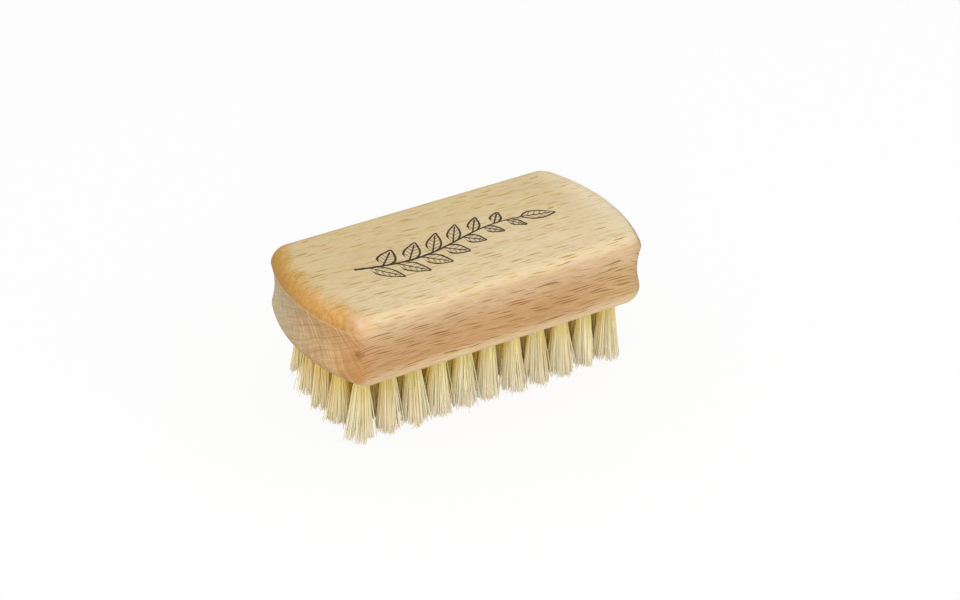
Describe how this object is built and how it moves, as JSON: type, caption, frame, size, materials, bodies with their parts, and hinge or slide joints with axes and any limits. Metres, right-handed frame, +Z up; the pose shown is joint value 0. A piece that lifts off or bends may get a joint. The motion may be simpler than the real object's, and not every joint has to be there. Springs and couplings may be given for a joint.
{
  "type": "nail brush",
  "caption": "Wooden nail brush: rounded beech block with bowed ends and a finger groove all round, and rows of short natural bristle tufts, each folded over a wire anchor in a blind hole.",
  "frame": {"origin": "below the middle of the block, on the plane of the bristle tips that the brush stands on", "axes": "+X along the block's length, +Y across it, +Z up, out of the block's flat top"},
  "size_m": [0.085, 0.0428, 0.0347],
  "materials": {
    "block": "smooth, oiled",
    "bristle": "natural bristle",
    "anchor": "drawn wire"
  },
  "bodies": {
    "root": {"block": "block", "anchors": "anchor", "tuft_1_1": "bristle", "tuft_1_2": "bristle", "tuft_1_3": "bristle", "tuft_1_4": "bristle", "tuft_1_5": "bristle", "tuft_1_6": "bristle", "tuft_1_7": "bristle", "tuft_1_8": "bristle", "tuft_1_9": "bristle", "tuft_1_10": "bristle", "tuft_1_11": "bristle", "tuft_2_1": "bristle", "tuft_2_2": "bristle", "tuft_2_3": "bristle", "tuft_2_4": "bristle", "tuft_2_5": "bristle", "tuft_2_6": "bristle", "tuft_2_7": "bristle", "tuft_2_8": "bristle", "tuft_2_9": "bristle", "tuft_2_10": "bristle", "tuft_2_11": "bristle", "tuft_3_1": "bristle", "tuft_3_2": "bristle", "tuft_3_3": "bristle", "tuft_3_4": "bristle", "tuft_3_5": "bristle", "tuft_3_6": "bristle", "tuft_3_7": "bristle", "tuft_3_8": "bristle", "tuft_3_9": "bristle", "tuft_3_10": "bristle", "tuft_3_11": "bristle", "tuft_4_1": "bristle", "tuft_4_2": "bristle", "tuft_4_3": "bristle", "tuft_4_4": "bristle", "tuft_4_5": "bristle", "tuft_4_6": "bristle", "tuft_4_7": "bristle", "tuft_4_8": "bristle", "tuft_4_9": "bristle", "tuft_4_10": "bristle", "tuft_4_11": "bristle", "tuft_5_1": "bristle", "tuft_5_2": "bristle", "tuft_5_3": "bristle", "tuft_5_4": "bristle", "tuft_5_5": "bristle", "tuft_5_6": "bristle", "tuft_5_7": "bristle", "tuft_5_8": "bristle", "tuft_5_9": "bristle", "tuft_5_10": "bristle", "tuft_5_11": "bristle"}
  },
  "joints": []
}
